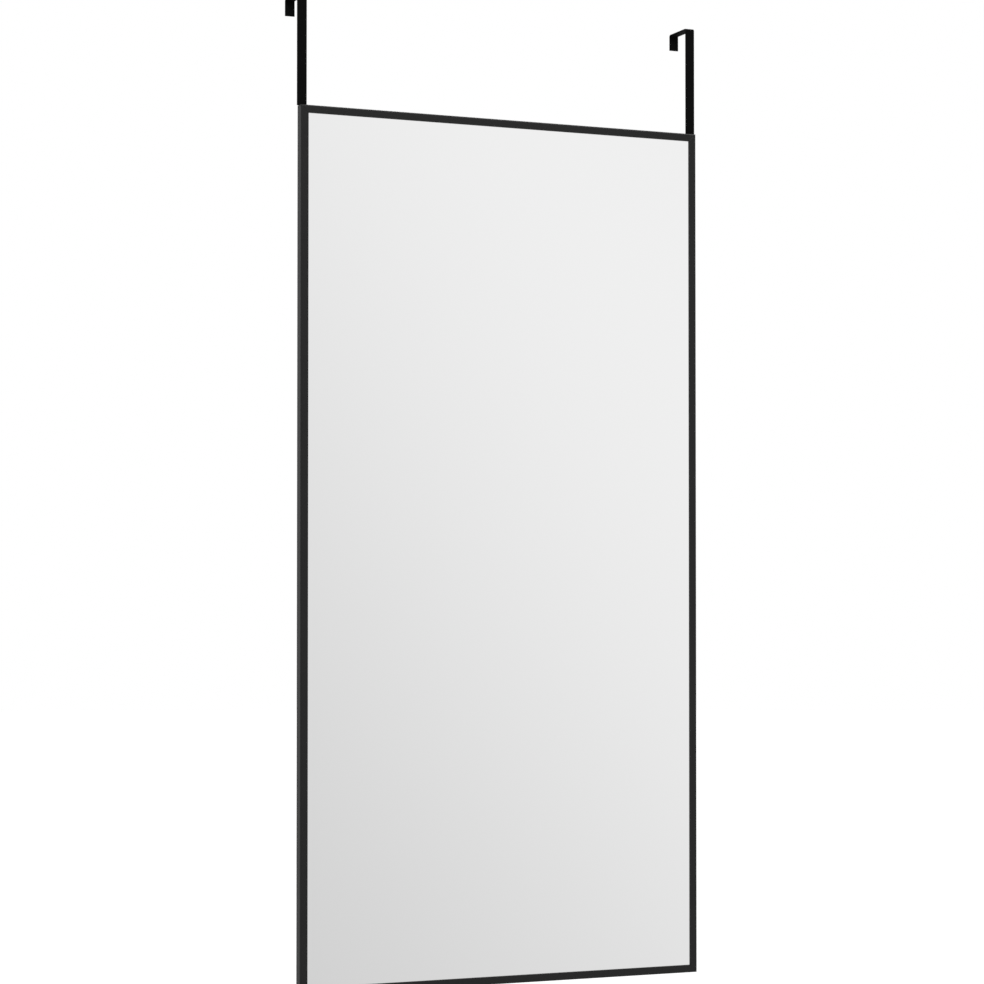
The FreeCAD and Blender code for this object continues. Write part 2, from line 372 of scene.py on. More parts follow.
def per_metre(size: float) -> float:
    """How many details of a size in millimetres go into a metre, which is a texture's scale."""
    return 1 / (size * MM)


def blank_tree(owner: Material | World) -> NodeTree:
    """Give a material or a world an empty tree of nodes.

    Args:
        owner: the material or the world.

    Returns:
        Its tree.
    """
    owner.use_nodes = True
    owner.node_tree.nodes.clear()
    return owner.node_tree


def add_node(tree: NodeTree, kind: str, inputs: Inputs | None = None, **settings: object) -> Node:
    """Add a node to a tree.

    Args:
        tree: the material's or the world's tree.
        kind: the node's type, after "ShaderNode".
        inputs: for each input, by name or number, its value or what it is linked to: an output, or a node
            whose first output in use is meant.
        settings: the node's own properties.

    Returns:
        The node.
    """
    node = tree.nodes.new(f"ShaderNode{kind}")
    for name, value in settings.items():
        setattr(node, name, value)
    for key, value in (inputs or {}).items():
        named = [socket for socket in node.inputs if socket.enabled and socket.name == key]
        socket = named[0] if named else node.inputs[key]
        if isinstance(value, Node):
            value = next(output for output in value.outputs if output.enabled)
        if isinstance(value, NodeSocket):
            tree.links.new(value, socket)
        else:
            socket.default_value = value
    return node


@dataclass(frozen=True)
class Pattern:
    """An irregular pattern: its details' size in millimetres, how they break up, and the part in use."""

    size: float
    detail: float = 2.0
    roughness: float = 0.5
    distortion: float = 0.0
    low: float = 0.0
    high: float = 1.0
    stretch: Point = (1.0, 1.0, 1.0)


@dataclass(frozen=True)
class Finish:
    """A surface, named for its material and for how it was made.

    Its colour goes from shade to tint as its tone does, and its dulling and relief follow its grain.
    """

    name: str
    slot: str
    shade: str = "#ffffff"
    tint: str = "#ffffff"
    tone: Pattern | None = None
    grain: Pattern | None = None
    roughness: float = 0.5
    dulling: float = 0.0
    relief: float = 0.0
    metallic: float = 0.0
    specular: float = 0.5
    refraction: float = 1.5

    def material(self) -> Material:
        """The finish as a material, made when it is first asked for."""
        return bpy.data.materials.get(self.name) or self.mixed()

    def mixed(self) -> Material:
        """Make the material, with every pattern of the finish drawn on Object coordinates.

        Returns:
            The material.
        """
        made = bpy.data.materials.new(self.name)
        tree = blank_tree(made)
        at = add_node(tree, "TexCoord").outputs["Object"]
        drawn = {
            name: add_node(tree, "TexNoise", {
                "Vector": add_node(tree, "Mapping", {"Vector": at, "Scale": pattern.stretch}),
                "Scale": per_metre(pattern.size), "Detail": pattern.detail,
                "Roughness": pattern.roughness, "Distortion": pattern.distortion,
            })
            for name, pattern in vars(self).items() if isinstance(pattern, Pattern)
        }
        inputs: Inputs = {
            "Base Color": self.colour(tree, drawn), "Roughness": self.roughness,
            "Metallic": self.metallic, "Specular IOR Level": self.specular, "IOR": self.refraction,
        }
        if self.dulling:
            inputs["Roughness"] = add_node(tree, "MapRange", {
                "Value": drawn["grain"], "From Min": self.grain.low, "From Max": self.grain.high,
                "To Min": self.roughness, "To Max": self.roughness + self.dulling,
            })
        if self.relief:
            inputs["Normal"] = add_node(tree, "Bump", {
                "Height": drawn["grain"], "Distance": self.relief * MM,
            })
        add_node(tree, "OutputMaterial", {"Surface": add_node(tree, "BsdfPrincipled", inputs)})
        return made

    def colour(self, tree: NodeTree, drawn: dict[str, Node]) -> Colour | Node:
        """Work out the colour.

        Args:
            tree: the material's tree.
            drawn: the finish's patterns, by name.

        Returns:
            One colour, or the node that gives it.
        """
        if not self.tone:
            return linear(self.shade)
        share = add_node(tree, "MapRange", {
            "Value": drawn["tone"], "From Min": self.tone.low, "From Max": self.tone.high,
        })
        layers = {"Factor": share, "A": linear(self.shade), "B": linear(self.tint)}
        return add_node(tree, "Mix", layers, data_type="RGBA")


@dataclass(frozen=True)
class PowderCoat(Finish):
    """Powder coat, sprayed dry and baked: an even skin whose faint orange peel softens reflections."""

    tone: Pattern = Pattern(40.0, detail=3.0)
    # Real orange peel is about 0.6 mm across; drawn coarser, so that it shows.
    grain: Pattern = Pattern(1.0, roughness=0.6, low=0.3, high=0.7)
    dulling: float = 0.1
    relief: float = 0.02


@dataclass(frozen=True)
class SilveredGlass(Finish):
    """Float glass silvered behind: a clear, neutral mirror, with a trace of wiping haze in its gloss."""

    shade: str = "#f8f8f8"
    grain: Pattern = Pattern(70.0, detail=4.0, distortion=1.5, low=0.5, high=0.8)
    roughness: float = 0.0
    dulling: float = 0.012
    metallic: float = 1.0


@dataclass(frozen=True)
class GroundEdge(Finish):
    """Glass edge ground with a fine belt: frosted, and the deep green that the glass shows end on."""

    shade: str = "#5d8a7c"
    tint: str = "#9dbfb3"
    tone: Pattern = Pattern(0.5)  # real grit marks are about 0.05 mm; drawn coarser, so that they show
    roughness: float = 0.55
    refraction: float = 1.52


@dataclass(frozen=True)
class FlatPaint(Finish):
    """Curtain-coated backing paint on the silver: dull grey, with the coating line's slight streaks."""

    shade: str = "#62686a"
    tint: str = "#70777a"
    tone: Pattern = Pattern(8.0, detail=3.0, stretch=(1.0, 1.0, 0.05))
    roughness: float = 0.65


@dataclass(frozen=True)
class Hardboard(Finish):
    """Hardboard, smooth side out: brown felted fibres with darker clouds and small pale shives."""

    shade: str = "#664829"
    tint: str = "#825f3b"
    fleck: str = "#a98656"
    # Real fibres are about 0.1 mm thick; drawn as the tufts that they felt into.
    grain: Pattern = Pattern(1.6, detail=5.0, roughness=0.7, distortion=2.5)
    cloud: Pattern = Pattern(45.0, detail=5.0)
    cloud_share: float = 0.55
    shive: Pattern = Pattern(2.4, detail=3.0, roughness=0.65, distortion=1.2, low=0.58, high=0.74)
    shive_share: float = 0.6
    tone_low: float = 0.4
    tone_high: float = 1.15
    dulling: float = 0.25
    relief: float = 0.02

    def colour(self, tree: NodeTree, drawn: dict[str, Node]) -> Colour | Node:
        """Lay clouds under the fibres, and shives over them.

        Args:
            tree: the material's tree.
            drawn: the finish's patterns, by name.

        Returns:
            The node that gives the colour.
        """
        layers = {0: drawn["cloud"], 1: self.cloud_share, 2: drawn["grain"]}
        both = add_node(tree, "Math", layers, operation="MULTIPLY_ADD")
        tone = add_node(tree, "MapRange", {
            "Value": both, "From Min": self.tone_low, "From Max": self.tone_high,
        })
        flecked = add_node(tree, "MapRange", {
            "Value": drawn["shive"], "From Min": self.shive.low, "From Max": self.shive.high,
            "To Max": self.shive_share,
        })
        colour: Colour | Node = linear(self.shade)
        for share, over in ((tone, self.tint), (flecked, self.fleck)):
            layers = {"Factor": share, "A": colour, "B": linear(over)}
            colour = add_node(tree, "Mix", layers, data_type="RGBA")
        return colour


@dataclass(frozen=True)
class MetalSkin(Finish):
    """A thin skin on steel, plated or tempered: metal whose colour drifts in clouds with its depth."""

    # Real plating grain is under 0.1 mm; drawn coarser, so that it shows.
    grain: Pattern = Pattern(0.6, detail=3.0, low=0.3, high=0.7)
    dulling: float = 0.14
    metallic: float = 1.0


@dataclass(frozen=True)
class MouldedRubber(Finish):
    """Solid rubber, moulded against a blasted tool: black, dull, with a fine even grain."""

    shade: str = "#0d0d0e"
    tint: str = "#18181a"
    tone: Pattern = Pattern(0.5, detail=3.0)
    grain: Pattern = Pattern(0.5, detail=3.0)
    roughness: float = 0.78
    relief: float = 0.015
    specular: float = 0.4


@dataclass(frozen=True)
class WovenFilm(Finish):
    """Polyethylene film on a web of woven tapes: milky, with the web's squares showing through."""

    shade: str = "#c9cdcf"
    tint: str = "#e4e7e8"
    tape: float = 2.5
    roughness: float = 0.4

    def colour(self, tree: NodeTree, drawn: dict[str, Node]) -> Colour | Node:
        """Show the web's squares.

        Args:
            tree: the material's tree.
            drawn: the finish's patterns, by name; not used.

        Returns:
            The node that gives the colour.
        """
        # The node's squares are half its scale's length across, so tapes are paired.
        return add_node(tree, "TexChecker", {
            "Vector": add_node(tree, "TexCoord").outputs["Object"], "Scale": per_metre(self.tape),
            "Color1": linear(self.shade), "Color2": linear(self.tint),
        })


FRAME_COAT = PowderCoat(
    "satin_black_powder_coat", "frame_black", shade="#121212", tint="#181818", roughness=0.4,
    specular=0.25,
)
HANGER_COAT = PowderCoat(
    "matte_black_powder_coat", "hanger_black", shade="#070707", tint="#0c0c0c", roughness=0.73,
    specular=0.04, grain=Pattern(0.8, roughness=0.6, low=0.3, high=0.7), relief=0.05,
)
MIRROR = SilveredGlass("silvered_float_glass", "silvered_glass")
GLASS_EDGE = GroundEdge("ground_float_glass", "silvered_glass")
GLASS_BACK = FlatPaint("curtain_coated_backing_paint", "silvered_glass")
BOARD = Hardboard("pressed_hardboard", "hardboard")
ZINC = MetalSkin(
    "bright_zinc_plate", "zinc_plated_steel", shade="#a9b0b6", tint="#c8c6bb", roughness=0.26,
    tone=Pattern(12.0, low=0.35, high=0.65),
)
BLUED = MetalSkin(
    "tempered_blue_spring_steel", "spring_steel", shade="#2f3947", tint="#4c5866", roughness=0.24,
    tone=Pattern(15.0, low=0.35, high=0.65),
)
RUBBER = MouldedRubber("moulded_black_rubber", "bumper_rubber")
FILM = WovenFilm("woven_polyethylene_film", "film_white")


# ---- Places ----


@dataclass(frozen=True)
class Corner:
    """An outer corner of the frame's front, from which pieces are placed at (inward, back, along)."""

    hand: Hand
    end: End

    @property
    def name(self) -> str:
        """The corner's side and end, as the CAD nodes name them."""
        return f"{self.hand.value}_{self.end.value}"

    def place(self, run: Run) -> Matrix:
        """Give the matrix from (inward, back, along) in millimetres to metres.

        Args:
            run: which way the member runs that the piece belongs to.

        Returns:
            The matrix.
        """
        low, high = box_mm("left_stile")
        outer, across = (low.x, 1) if self.hand is Hand.LEFT else (box_mm("right_stile")[1].x, -1)
        outermost, level = (low.z, 1) if self.end is End.BOTTOM else (high.z, -1)
        directions = [Vector((across, 0, 0)), Vector((0, 0, level))]
        inward, along = directions if run is Run.UPRIGHT else reversed(directions)
        axes = Matrix((inward, Vector((0, 1, 0)), along)).transposed()
        return Matrix.Scale(MM, 4) @ Matrix.Translation((outer, low.y, outermost)) @ axes.to_4x4()


CORNERS = [Corner(hand, end) for hand in Hand for end in End]


def spots(places: Iterable[Point], turn: float = 0.0, start: float = 0.0) -> list[Matrix]:
    """Give the matrices that move copies of a turned piece to their spots on a member.

    Args:
        places: the (inward, along) of each copy.
        turn: how much further round each copy is left than the one before, in degrees.
        start: how far round the first one is left.

    Returns:
        A matrix for each copy.
    """
    return [
        Matrix.Translation((inward, 0, along))
        @ Matrix.Rotation(math.radians(start + turn * number), 4, "Y")
        for number, (inward, along) in enumerate(places)
    ]


def fit(work: BMesh, name: str, node: str, finish: Finish, place: Matrix) -> Object:
    """Put a shaped workpiece in its place, as the piece that stands for a CAD node.

    Args:
        work: the workpiece, which is used up.
        name: the piece's name.
        node: the CAD node that it replaces, and whose body it rides on.
        finish: the piece's finish.
        place: the matrix from the workpiece's millimetres to metres.

    Returns:
        The piece.
    """
    bmesh.ops.remove_doubles(work, verts=work.verts, dist=MERGE)
    bmesh.ops.transform(work, matrix=place, verts=work.verts)
    bmesh.ops.recalc_face_normals(work, faces=work.faces)
    piece = as_object(work, name)
    piece.data.materials.append(finish.material())
    piece.data.shade_smooth()
    piece.data.set_sharp_from_angle(angle=SHARP_ANGLE)
    weighted = piece.modifiers.new("face weighted normals", "WEIGHTED_NORMAL")
    weighted.weight = 100
    weighted.keep_sharp = True
    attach(piece, frame["nodes"][node]["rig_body"])
    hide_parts(node)
    log.info("%s: %d faces, for %s", name, len(piece.data.polygons), node)
    return piece


def dress(node: str, finish: Finish) -> None:
    """Give a carried-over CAD node its finish.

    Args:
        node: the node's name.
        finish: its finish.
    """
    for slot in frame["nodes"][node].material_slots:
        slot.material = finish.material()
    log.info("%s: kept, in %s", node, finish.name)


# ---- Sub-assemblies ----


@dataclass
class Fasteners:
    """Countersunk screws and headless clamp screws, with the tools that drill for them."""

    head: float = 5.2
    shank: float = 3.0
    rim: float = 0.12
    tip: float = 9.8
    tip_chamfer: float = 0.3
    recess_length: float = 2.8
    recess_width: float = 0.6
    recess_depth: float = 0.8
    recess_taper: float = 0.75
    clamp: float = 4.0
    clamp_front: float = 9.65
    clamp_sunk: float = 0.2
    clamp_chamfer: float = 0.35
    hexagon: float = 2.0
    socket: float = 1.4
    play: float = 0.05
    clamp_hole_play: float = 0.2
    drill_front: float = 9.5
    drill_over: float = 0.5

    def __post_init__(self) -> None:
        """Read how far back the frame's rear face is."""
        self.surface = from_corner("left_stile")[1][1]

    def screw(self) -> BMesh:
        """Make a countersunk screw with a tapered cross recess.

        Returns:
            The screw, on the back axis.
        """
        head, shank = self.head / 2, self.shank / 2
        neck = self.surface - (head - shank)
        work = turned([
            (0, self.surface), (head - self.rim, self.surface), (head, self.surface - self.rim),
            (shank, neck - self.rim), (shank, self.tip + self.tip_chamfer),
            (shank - self.tip_chamfer, self.tip), (0, self.tip),
        ])
        long, narrow = self.recess_length, self.recess_width
        for across, down in ((long, narrow), (narrow, long)):
            arm = block(
                (-across / 2, self.surface - self.recess_depth, -down / 2),
                (across / 2, self.surface + self.recess_depth, down / 2),
            )
            floor = [vert for vert in arm.verts if vert.co.y < self.surface]
            bmesh.ops.scale(arm, vec=(self.recess_taper, 1, self.recess_taper), verts=floor)
            work = cut(work, arm)
        return work

    def clamp_screw(self) -> BMesh:
        """Make a headless screw with a hexagon socket and a cup point.

        Returns:
            The screw, on the back axis.
        """
        radius, back = self.clamp / 2, self.surface - self.clamp_sunk
        chamfer, front = self.clamp_chamfer, self.clamp_front
        work = turned([
            (0, back), (radius - chamfer, back), (radius, back - chamfer), (radius, front + chamfer * 2),
            (radius - chamfer * 2, front), (radius / 3, front), (0, front + chamfer),
        ])
        corner = self.hexagon / math.sqrt(3)
        key = bmesh.new()
        bmesh.ops.create_cone(
            key, cap_ends=True, segments=6, radius1=corner, radius2=corner, depth=self.socket * 2,
            matrix=Matrix.Translation((0, back, 0)) @ Matrix.Rotation(QUARTER, 4, "X"),
        )
        return cut(work, key)

    def countersink(self) -> BMesh:
        """Make the tool that drills and countersinks for a screw.

        Returns:
            The tool, on the back axis.
        """
        head, shank = self.head / 2 + self.play, self.shank / 2 + self.play
        back, front = self.surface + self.drill_over, self.tip - self.drill_over
        return turned([
            (0, back), (head + self.drill_over, back), (shank, self.surface - (head - shank)),
            (shank, front), (0, front),
        ])

    def drill(self, radius: float) -> BMesh:
        """Make the tool that drills a plain hole through the rear flange and the plate under it."""
        back, front = self.surface + self.drill_over, self.drill_front
        return turned([(0, back), (radius, back), (radius, front), (0, front)])


@dataclass
class HangerSeat:
    """Where a hanger's tang runs in its stile, and where its sleeve's screws are."""

    tang_width: float = 7.0
    run_play: float = 0.15
    sleeve_wall: float = 0.8
    screw_from_end: float = 5.0
    screw_turns: tuple[float, float] = (55.0, 20.0)
    clamp_from_end: float = 16.0
    clamp_turns: tuple[float, float] = (25.0, 0.0)

    def __post_init__(self) -> None:
        """Read the sizes that the CAD model settles, and place the screws."""
        near, far = from_corner("left_guide_sleeve")
        self.sleeve_low, self.sleeve_front, self.sleeve_top = near
        self.sleeve_high, self.sleeve_back, self.sleeve_end = far
        self.tang_low = self.sleeve_low + self.sleeve_wall + self.run_play
        self.tang_high = self.tang_low + self.tang_width
        self.tang_line = (self.tang_low + self.tang_high) / 2
        self.gauge = box_mm("left_hanger")[1].z  # the strip lies on the door's top, which is at height 0
        self.strip_front = from_corner("left_hanger")[0][1]
        self.strip_back = self.strip_front + self.gauge
        self.screw_spots = self.near_both_ends(self.screw_from_end, *self.screw_turns)
        self.clamp_spots = self.near_both_ends(self.clamp_from_end, *self.clamp_turns)

    def near_both_ends(self, inset: float, turn: float, start: float) -> list[Matrix]:
        """Places for two screws on the tang's line, inset from the sleeve's ends, turned as in spots."""
        alongs = (self.sleeve_top + inset, self.sleeve_end - inset)
        return spots([(self.tang_line, along) for along in alongs], turn, start)


@dataclass
class MitredFrame:
    """Four lengths of one channel profile, mitred and joined by keys that are screwed from behind."""

    wall: float = 1.2
    flange: float = 1.2
    front_radius: float = 2.0
    rear_radius: float = 0.6
    lip_radius: float = 0.4
    edge_radius: float = 0.15
    saw_ease: float = 0.12
    key_play: float = 0.2
    key_screws: tuple[float, float] = (16.0, 30.0)
    key_screw_turn: float = 37.0
    key_edge: float = 0.25
    slot_play: float = 0.2
    slot_radius: float = 0.5
    fasteners: Fasteners = field(default_factory=Fasteners)
    seat: HangerSeat = field(default_factory=HangerSeat)

    def __post_init__(self) -> None:
        """Read the sizes that the CAD model settles."""
        self.face_width, self.depth, self.height = from_corner("left_stile")[1]
        self.width = from_corner("right_stile")[1][0]
        self.lip = from_corner("mirror_glass")[0][1]
        near, far = from_corner("left_top_corner_key")
        self.key_near, self.key_front, _ = near
        self.key_reach, self.key_back, _ = far
        self.key_far = self.face_width - self.key_play
        self.key_line = (self.key_near + self.key_far) / 2

    def bar(self, length: float) -> BMesh:
        """Make one length of the profile with a mitre at both ends, drilled for the corner screws.

        Args:
            length: its outer length.

        Returns:
            The bar, as if from a corner at the origin.
        """
        width, depth, edge = self.face_width, self.depth, self.edge_radius
        work = bmesh.new()
        section = outline_face(work, [
            (0, 0, self.front_radius), (width, 0, self.lip_radius), (width, self.lip, edge),
            (self.wall, self.lip, edge), (self.wall, depth - self.flange, edge),
            (width, depth - self.flange, edge), (width, depth, edge), (0, depth, self.rear_radius),
        ])
        bmesh.ops.translate(work, vec=(0, 0, -OVERSHOOT), verts=work.verts)
        pushed(work, section, (0, 0, length + 2 * OVERSHOOT))
        for end, sense in ((0, 1), (length, -1)):
            sawn = bmesh.ops.bisect_plane(
                work, geom=[*work.verts, *work.edges, *work.faces], dist=MERGE,
                plane_co=(0, 0, end), plane_no=(1, 0, -sense), clear_outer=True,
            )["geom_cut"]
            rim = of_kind(sawn, BMEdge)
            bmesh.ops.holes_fill(work, edges=rim, sides=0)
            ease(work, rim, self.saw_ease, 1)
        close(work)
        near, far = self.key_screws
        holes = spots([(self.key_line, along) for along in (near, far, length - far, length - near)])
        return cut(work, repeated(self.fasteners.countersink(), holes))

    def stile(self, hand: Hand) -> None:
        """Make one upright member, drilled for its hanger's sleeve and clamp screws.

        Args:
            hand: its side.
        """
        tools, side = self.fasteners, hand.value
        work = cut(self.bar(self.height), repeated(tools.countersink(), self.seat.screw_spots))
        drill = tools.drill(tools.clamp / 2 + tools.clamp_hole_play)
        work = cut(work, repeated(drill, self.seat.clamp_spots))
        fit(work, f"stile_{side}", f"{side}_stile", FRAME_COAT, Corner(hand, End.TOP).place(Run.UPRIGHT))

    def rail(self, end: End) -> None:
        """Make one level member; the top one has a slot at each end for a hanger.

        Args:
            end: its end of the frame.
        """
        work = self.bar(self.width)
        if end is End.TOP:
            seat, play = self.seat, self.slot_play
            low, high = seat.tang_low - play, seat.tang_high + play
            for start, stop in ((low, high), (self.width - high, self.width - low)):
                punch = block(
                    (-OVERSHOOT, seat.strip_front - play, start),
                    (self.wall + OVERSHOOT, seat.strip_back + play, stop),
                )
                corners = [edge for edge in punch.edges if inward_span(edge) > self.wall]
                ease(punch, corners, self.slot_radius)
                work = cut(work, punch)
        place = Corner(Hand.LEFT, end).place(Run.LEVEL)
        fit(work, f"rail_{end.value}", f"{end.value}_rail", FRAME_COAT, place)

    def key(self, corner: Corner) -> None:
        """Make the L-shaped key of one corner and its four screws, each left at its own turn.

        Args:
            corner: the corner.
        """
        near, far, reach = self.key_near, self.key_far, self.key_reach
        work = bmesh.new()
        outline = ((near, near), (reach, near), (reach, far), (far, far), (far, reach), (near, reach))
        corners = [work.verts.new((inward, self.key_front, along)) for inward, along in outline]
        pushed(work, work.faces.new(corners), (0, self.key_back - self.key_front, 0))
        close(work)
        ease(work, sharp_edges(work), self.key_edge)
        tools, line, (first, last) = self.fasteners, self.key_line, self.key_screws
        places = spots([(line, first), (line, last), (first, line), (last, line)], self.key_screw_turn)
        work = cut(work, repeated(tools.drill(tools.shank / 2 + tools.play), places))
        place = corner.place(Run.UPRIGHT)
        fit(work, f"corner_key_{corner.name}", f"{corner.name}_corner_key", ZINC, place)
        screws = repeated(tools.screw(), places)
        fit(screws, f"corner_screws_{corner.name}", f"{corner.name}_corner_screws", ZINC, place)

    def build(self) -> None:
        """Make the four members, their keys and the keys' screws."""
        for hand in Hand:
            self.stile(hand)
        for end in End:
            self.rail(end)
        for corner in CORNERS:
            self.key(corner)


@dataclass
class Backing:
    """The silvered pane with what lies behind it, and the bowed clips that press them forward."""

    arris: float = 0.4
    clip_gauge: float = 0.4
    clip_steps: int = 16
    clip_corner: float = 2.2
    clip_corner_steps: int = 4
    clip_edge: float = 0.08

    def pane(self) -> None:
        """Make the mirror: silvered in front, ground at its edges and painted behind."""
        low, high = box_mm("mirror_glass")
        work = block(low, high)
        long_edges = [edge for edge in work.edges if edge.calc_length() > 2 * (high.y - low.y)]
        ease(work, long_edges, self.arris, 1)
        pane = fit(work, "mirror_pane", "mirror_glass", MIRROR, Matrix.Scale(MM, 4))
        pane.data.materials.append(GLASS_EDGE.material())
        pane.data.materials.append(GLASS_BACK.material())
        for face in pane.data.polygons:
            face.material_index = 0 if face.normal.y < -FACING else 2 if face.normal.y > FACING else 1

    def clip(self, name: str, node: str, corner: Corner, run: Run) -> None:
        """Make one bowed leaf spring.

        Args:
            name: the piece's name.
            node: the CAD node that it replaces.
            corner: the corner that its member is measured from.
            run: which way its member runs.
        """
        place = corner.place(run)
        ends = [place.inverted() @ (point * MM) for point in box_mm(node)]
        low, high = Vector(map(min, *ends)), Vector(map(max, *ends))
        half, middle = (high.z - low.z) / 2, (high.z + low.z) / 2
        rise = high.y - low.y - self.clip_gauge
        radius = (half ** 2 + rise ** 2) / (2 * rise)
        work = bmesh.new()
        back, first = high.y - self.clip_gauge, middle - half
        start = [work.verts.new((inward, back, first)) for inward in (low.x, high.x)]
        edge = work.edges.new(start)
        bmesh.ops.spin(
            work, geom=[*start, edge], cent=(0, low.y + radius, middle), axis=(1, 0, 0),
            angle=-2 * math.asin(half / radius), steps=self.clip_steps,
        )
        corners = [vert for vert in work.verts if len(vert.link_edges) == 2]
        ease(work, corners, self.clip_corner, self.clip_corner_steps)
        bmesh.ops.recalc_face_normals(work, faces=work.faces)
        bmesh.ops.solidify(work, geom=work.faces, thickness=self.clip_gauge)
        close(work)
        ease(work, sharp_edges(work), self.clip_edge, 1)
        fit(work, name, node, BLUED, place)

    def build(self) -> None:
        """Make the pane and the clips, and dress the film and the board."""
        self.pane()
        dress("safety_film", FILM)
        dress("backing_board", BOARD)
        for hand in Hand:
            for level in ("upper", "middle", "lower"):
                node = f"{hand.value}_{level}_spring_clip"
                self.clip(f"spring_clip_{level}_{hand.value}", node, Corner(hand, End.TOP), Run.UPRIGHT)
        for end in End:
            node = f"{end.value}_rail_spring_clip"
            self.clip(f"spring_clip_{end.value}", node, Corner(Hand.LEFT, end), Run.LEVEL)


@dataclass
class Hanger:
    """One bent strip that hooks over the door, with the sleeve and the screws that hold its tang."""

    hand: Hand
    bend_radius: float = 1.0
    hook_drop: float = 19.0
    edge_radius: float = 0.25
    tang_lead_in: float = 1.5
    sleeve_corner: float = 0.5
    sleeve_edge: float = 0.1
    bore_corner: float = 0.25
    fasteners: Fasteners = field(default_factory=Fasteners)
    seat: HangerSeat = field(default_factory=HangerSeat)

    def strip(self) -> BMesh:
        """Sweep the flat strip up from its shoulder, over the door and down behind it.

        Returns:
            The strip with its tang, from the frame's top corner.
        """
        seat, bend, door_top = self.seat, self.bend_radius, box_mm("left_stile")[1].z
        (left, near, _), (right, far, tang_end) = from_corner("left_hanger")
        work = bmesh.new()
        section = outline_face(work, rectangle((left, near), (right, seat.strip_back), self.edge_radius))
        section = pushed(work, section, (0, 0, door_top + bend))
        section = bent(work, section, (0, seat.strip_back + bend, door_top + bend))
        section = pushed(work, section, (0, far - near - 2 * (seat.gauge + bend), 0))
        section = bent(work, section, (0, far - seat.gauge - bend, door_top + bend))
        section = pushed(work, section, (0, 0, self.hook_drop - seat.gauge - bend))
        ease(work, section.edges, self.edge_radius)
        self.add_tang(work, tang_end)
        close(work)
        return work

    def add_tang(self, work: BMesh, length: float) -> None:
        """Draw the narrower tang down out of the strip's shoulder.

        Args:
            work: the strip.
            length: how far the tang reaches below the shoulder.
        """
        seat = self.seat
        for inward in (seat.tang_low, seat.tang_high):
            bmesh.ops.bisect_plane(
                work, geom=bordered(*self.shoulder(work)), dist=MERGE,
                plane_co=(inward, 0, 0), plane_no=(1, 0, 0),
            )
        root = min(
            self.shoulder(work), key=lambda face: abs(face.calc_center_median().x - seat.tang_line)
        )
        end = pushed(work, root, (0, 0, length))
        sides = [
            edge for edge in end.edges
            if inward_span(edge) < MERGE and edge.calc_length() > seat.gauge / 3
        ]
        ease(work, sides, self.tang_lead_in, 1)

    @staticmethod
    def shoulder(work: BMesh) -> list[BMFace]:
        """The faces of the strip's end that stands on the frame."""
        return [face for face in work.faces if all(abs(vert.co.z) < MERGE for vert in face.verts)]

    def sleeve(self) -> BMesh:
        """Make the flat tube that the tang slides in, drilled through its rear wall.

        Returns:
            The sleeve, from the frame's top corner.
        """
        seat, tools, wall = self.seat, self.fasteners, self.seat.sleeve_wall
        length = seat.sleeve_end - seat.sleeve_top
        inner_back = seat.strip_back + seat.run_play
        work, bore = bmesh.new(), bmesh.new()
        outside = outline_face(work, rectangle(
            (seat.sleeve_low, seat.sleeve_front), (seat.sleeve_high, seat.sleeve_back), self.sleeve_corner
        ))
        inside = outline_face(bore, rectangle(
            (seat.sleeve_low + wall, seat.sleeve_front + wall), (seat.sleeve_high - wall, inner_back),
            self.bore_corner,
        ))
        pushed(work, outside, (0, 0, length))
        close(work)
        ease(work, sharp_edges(work), self.sleeve_edge, 1)
        pushed(bore, inside, (0, 0, length + 2 * OVERSHOOT))
        close(bore)
        bmesh.ops.translate(bore, vec=(0, 0, -OVERSHOOT), verts=bore.verts)
        work = cut(work, bore)
        bmesh.ops.translate(work, vec=(0, 0, seat.sleeve_top), verts=work.verts)
        for size, places in ((tools.shank, seat.screw_spots), (tools.clamp, seat.clamp_spots)):
            work = cut(work, repeated(tools.drill(size / 2 + tools.play), places))
        return work

    def build(self) -> None:
        """Make the strip, the sleeve and their screws."""
        seat, tools = self.seat, self.fasteners
        place = Corner(self.hand, End.TOP).place(Run.UPRIGHT)
        for made, kind, finish in (
            (self.strip(), "hanger", HANGER_COAT),
            (self.sleeve(), "guide_sleeve", ZINC),
            (repeated(tools.screw(), seat.screw_spots), "sleeve_screws", ZINC),
            (repeated(tools.clamp_screw(), seat.clamp_spots), "clamp_screws", ZINC),
        ):
            fit(made, f"{kind}_{self.hand.value}", f"{self.hand.value}_{kind}", finish, place)


@dataclass
class Bumpers:
    """Rubber discs that keep the frame off the door."""

    edge: float = 0.35
    edge_steps: int = 4
    dimple: float = 2.2
    dimple_depth: float = 0.15

    def disc(self, radius: float, thickness: float) -> BMesh:
        """Make one disc with a rounded rim and a shallow dimple behind.

        Args:
            radius: its radius.
            thickness: its thickness.

        Returns:
            The disc, with its front on the back axis at 0.
        """
        floor = thickness - self.dimple_depth
        work = turned([
            (0, 0), (radius, 0), (radius, thickness), (self.dimple, thickness),
            (self.dimple - self.dimple_depth, floor), (0, floor),
        ])
        outer = {
            vert for vert in work.verts
            if vert.co.y > thickness / 2 and math.hypot(vert.co.x, vert.co.z) > (radius + self.dimple) / 2
        }
        rim = [edge for edge in work.edges if outer.issuperset(edge.verts)]
        ease(work, rim, self.edge, self.edge_steps)
        return work

    def build(self) -> None:
        """Make the four bumpers."""
        for corner in CORNERS:
            node = f"{corner.name}_bumper"
            low, high = box_mm(node)
            centre = Vector(((low.x + high.x) / 2, low.y, (low.z + high.z) / 2))
            place = Matrix.Scale(MM, 4) @ Matrix.Translation(centre)
            disc = self.disc((high.x - low.x) / 2, high.y - low.y)
            fit(disc, f"bumper_{corner.end.value}_{corner.hand.value}", node, RUBBER, place)


# ---- Studio ----


